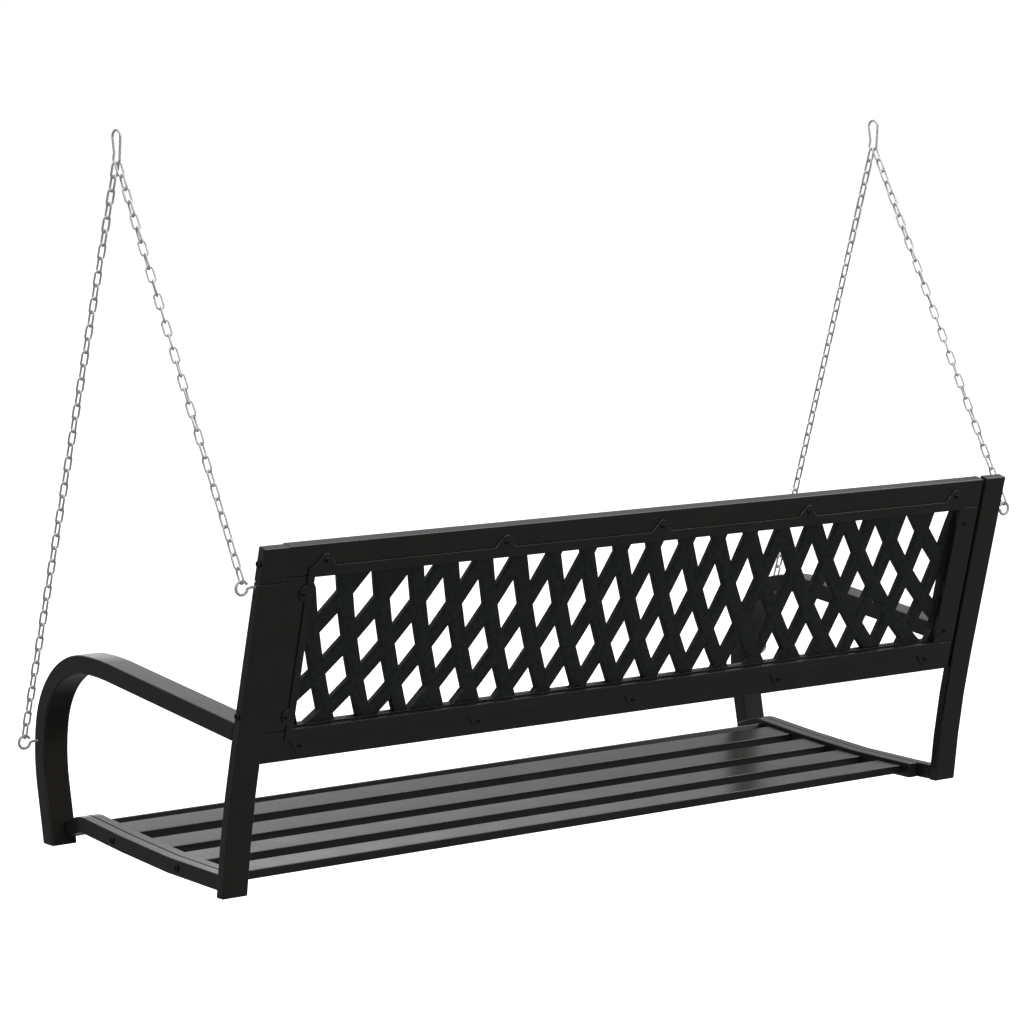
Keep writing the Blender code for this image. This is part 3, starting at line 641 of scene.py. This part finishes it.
def in_side_view(x, pairs):
    """Points at one x from their (y, z)."""
    return [Vector((x, y, z)) for y, z in pairs]


def hook_and_gate(side, sign):
    """The bent hook, and the gate that turns on a knuckle in the hook's lower end."""
    x = sign * HANG_X
    top = arc((0, HOOK_TOP_Z), HOOK_TOP_RADIUS, *HOOK_TOP_BEND)
    bottom = arc((0, HOOK_TOP_Z - HOOK_BENDS_APART), HOOK_BOTTOM_RADIUS, *HOOK_BOTTOM_BEND)
    hinge = Vector((x, GATE_HINGE[0], HOOK_TOP_Z + GATE_HINGE[1]))
    tip = Vector((x, GATE_TIP[0], HOOK_TOP_Z + GATE_TIP[1]))
    kink = hinge + (hinge - tip).normalized() * GATE_KINK_GAP
    line = [*in_side_view(x, [*top, *bottom]), kink]
    made = bmesh.new()
    open_wire(made, line, HOOK_WIRE, X_AXIS, CUT_END, CUT_END)
    add_piece(side + "_snap_hook_wire", made, "zinc_steel", "hooks", [side + "_snap_hook"])
    gate = bmesh.new()
    stations = [hinge.lerp(tip, n / GATE_STEPS) for n in range(GATE_STEPS + 1)]
    open_wire(gate, stations, HOOK_WIRE, X_AXIS, BALL_END, CUT_END)
    add_piece(side + "_gate_wire", gate, "zinc_steel", "gate_" + side, [side + "_gate"])


def eye_bolt(side, sign, end):
    """A straight shank in the tube, and a ring that stays open by a little."""
    y, z = EYES[end]
    start = OUTER_X - EYE_SHANK_INSIDE - HANG_X
    stretch = -EYE_RADIUS - EYE_NECK - start
    shank = [(start + stretch * n / EYE_SHANK_STEPS, 0) for n in range(EYE_SHANK_STEPS + 1)]
    loop = arc((0, 0), EYE_RADIUS, *EYE_BEND)
    line = [Vector((sign * (HANG_X + across), y, z + up)) for across, up in [*shank, *loop]]
    straight, bent = line[:EYE_STRAIGHT_POINTS], line[EYE_STRAIGHT_POINTS:]
    made = bmesh.new()
    open_wire(made, [*straight, *eased(bent)], EYE_ROD, Vector((0, 1, 0)))
    node = f"{side}_{end}_eye_bolt"
    add_piece(node + "_bent", made, "zinc_steel", "bench", [node])


def link_outline(long, wide):
    """A link's wire line as (along, across) from its top to its bottom and back."""
    half = wide / 2
    top = arc((half, 0), half, 90, 270, LINK_BEND_STEP)
    bottom = arc((long - half, 0), half, -90, 90, LINK_BEND_STEP)
    return [*top, *bottom]


def chain(side, sign, end):
    """Links from the hook's bottom bend to the eye bolt's ring, each through the next."""
    y, z = EYES[end]
    count = LINK_COUNTS[end]
    top = Vector((0, SWING_AXIS.y, SWING_AXIS.z))
    ring_top = Vector((0, y, z + EYE_RADIUS))
    way = (ring_top - top).normalized()
    first = HOOK_BOTTOM_RADIUS - (HOOK_WIRE + CHAIN_WIRE) / 2
    last = (ring_top - top).length + (EYE_ROD + CHAIN_WIRE) / 2
    pitch = (last - first - CHAIN_WIRE) / count
    outline = link_outline(pitch + CHAIN_WIRE, LINK_WIDE - CHAIN_WIRE)
    made = bmesh.new()
    for number in range(count):
        angle = number * LINK_TURNS[end] * radians(90) / (count - 1)
        across = Matrix.Rotation(angle, 3, way) @ X_AXIS
        start = top + way * (first + pitch * number) + X_AXIS * sign * HANG_X
        points = [start + way * along + across * aside for along, aside in outline]
        closed_wire(made, points, CHAIN_WIRE, way.cross(across))
    node = f"{side}_{end}_chain"
    add_piece(node + "_links", made, "zinc_steel", "bench", [node])


for side, sign in SIDES.items():
    hook_and_gate(side, sign)
    for end in EYES:
        eye_bolt(side, sign, end)
        chain(side, sign, end)


# ---- Floor, light and camera ----

# The floor, with the light that the camera and the object see it give off
FLOOR_Z = -1.62
FLOOR_RADIUS = 30
FLOOR_SIDES = 96
FLOOR_GLOW = 0.82
FLOOR_BOUNCE = 0.20

# The room's brightness by height, and what a white screen in front of the bench adds to it by
# how near a direction is to the screen's middle. A place of 0.5 is level or square to it.
SKY_STOPS = (
    (0.0, (0.10, 0.10, 0.10)),
    (0.46, (0.110, 0.100, 0.088)),
    (0.54, (0.135, 0.125, 0.112)),
    (0.70, (0.27, 0.27, 0.27)),
    (1.0, (0.90, 0.90, 0.90)),
)
SCREEN_WAY = (-0.415, -0.890, 0.17)
SCREEN_STOPS = (
    (0.0, (0.0, 0.0, 0.0)),
    (0.86, (0.0, 0.0, 0.0)),
    (0.970, (0.26, 0.27, 0.28)),
    (0.985, (0.58, 0.60, 0.62)),
    (0.996, (1.60, 1.64, 1.68)),
)


def emission(tree, strength):
    """White light from a surface."""
    glow = tree.nodes.new("ShaderNodeEmission")
    glow.inputs["Strength"].default_value = strength
    return glow.outputs[0]


def seen_or_lit(tree, seen, lit, target):
    """Links one shader for what the camera sees and another for what lights the object."""
    ray = tree.nodes.new("ShaderNodeLightPath")
    mix = tree.nodes.new("ShaderNodeMixShader")
    tree.links.new(ray.outputs["Is Camera Ray"], mix.inputs[0])
    tree.links.new(lit, mix.inputs[1])
    tree.links.new(seen, mix.inputs[2])
    tree.links.new(mix.outputs[0], target)


def floor_material():
    look = bpy.data.materials.new("pale_floor")
    look.use_nodes = True
    tree = look.node_tree
    shader = tree.nodes["Principled BSDF"]
    shader.inputs["Base Color"].default_value = (0.90, 0.90, 0.90, 1)
    shader.inputs["Roughness"].default_value = 0.9
    both = tree.nodes.new("ShaderNodeAddShader")
    tree.links.new(shader.outputs[0], both.inputs[0])
    tree.links.new(emission(tree, FLOOR_GLOW), both.inputs[1])
    target = tree.nodes["Material Output"].inputs["Surface"]
    seen_or_lit(tree, both.outputs[0], emission(tree, FLOOR_BOUNCE), target)
    return look


def floor():
    """A pale floor that runs into the white of the studio, too bright to show a shadow."""
    made = bmesh.new()
    bmesh.ops.create_circle(made, cap_ends=True, segments=FLOOR_SIDES, radius=FLOOR_RADIUS)
    data = bpy.data.meshes.new("floor")
    made.to_mesh(data)
    made.free()
    data.materials.append(floor_material())
    ground = bpy.data.objects.new("floor", data)
    ground.location.z = FLOOR_Z
    bpy.context.scene.collection.objects.link(ground)
    ground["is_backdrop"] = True


def softbox(name, spot, target, size, power):
    """A rectangular light at a spot that faces a target."""
    light = bpy.data.lights.new(name, "AREA")
    light.shape = "RECTANGLE"
    light.size, light.size_y = size
    light.energy = power
    lamp = bpy.data.objects.new(name, light)
    lamp.location = spot
    lamp.rotation_euler = (Vector(target) - Vector(spot)).to_track_quat("-Z", "Y").to_euler()
    bpy.context.scene.collection.objects.link(lamp)


def brightness_along(tree, toward, stops):
    """A colour by how near a direction is to another one."""
    way = tree.nodes.new("ShaderNodeTexCoord")
    share = tree.nodes.new("ShaderNodeVectorMath")
    share.operation = "DOT_PRODUCT"
    share.inputs[1].default_value = toward
    tree.links.new(way.outputs["Generated"], share.inputs[0])
    rise = tree.nodes.new("ShaderNodeMapRange")
    rise.inputs["From Min"].default_value = -1.0
    tree.links.new(share.outputs["Value"], rise.inputs[0])
    ramp = tree.nodes.new("ShaderNodeValToRGB")
    tree.links.new(rise.outputs[0], ramp.inputs["Fac"])
    elements = ramp.color_ramp.elements
    while len(elements) < len(stops):
        elements.new(0.5)
    for element, (at, colour) in zip(elements, stops):
        element.position = at
        element.color = (*colour, 1)
    return ramp.outputs["Color"]


def studio_world():
    """White behind the object, and around it a room that is bright in front of the bench and
    above it and dim behind the camera."""
    world = bpy.data.worlds.new("studio")
    bpy.context.scene.world = world
    world.use_nodes = True
    tree = world.node_tree
    total = tree.nodes.new("ShaderNodeMix")
    total.data_type = "RGBA"
    total.blend_type = "ADD"
    total.inputs[0].default_value = 1.0
    tree.links.new(brightness_along(tree, (0, 0, 1), SKY_STOPS), total.inputs[6])
    tree.links.new(brightness_along(tree, SCREEN_WAY, SCREEN_STOPS), total.inputs[7])
    room = tree.nodes["Background"]
    tree.links.new(total.outputs[2], room.inputs["Color"])
    seen = tree.nodes.new("ShaderNodeBackground")
    seen.inputs["Color"].default_value = (1, 1, 1, 1)
    target = tree.nodes["World Output"].inputs["Surface"]
    seen_or_lit(tree, seen.outputs[0], room.outputs[0], target)


floor()
studio_world()
softbox("overhead", spot=(0.2, 0.9, 2.4), target=(0, 0, -0.8), size=(3.4, 2.0), power=58)
softbox("behind_camera", spot=(5.0, 6.4, 1.4), target=(0, 0, -0.6), size=(2.2, 2.2), power=36)
softbox("edges", spot=(-2.6, 0.2, 2.4), target=(0, 0.3, -0.8), size=(2.4, 2.6), power=66)
softbox("far_side", spot=(-4.6, 2.6, 1.0), target=(0, 0.2, -0.8), size=(1.4, 2.2), power=26)

bpy.context.scene.view_settings.view_transform = "Standard"

camera_data = bpy.data.cameras.new("camera")
camera_data.sensor_width = 36
camera_data.lens = 130.14
camera_data.shift_y = -0.15
camera_data.clip_end = 100
camera = bpy.data.objects.new("camera", camera_data)
camera.location = (3.8382, 4.8184, 0.0968)
camera.rotation_euler = (radians(90 - 4.494), 0, radians(141.664))
bpy.context.scene.collection.objects.link(camera)
bpy.context.scene.camera = camera

sizes = {
    "cad": [[float(value) for value in corner] for corner in cad_box],
    "visual": [[float(value) for value in corner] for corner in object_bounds()],
}
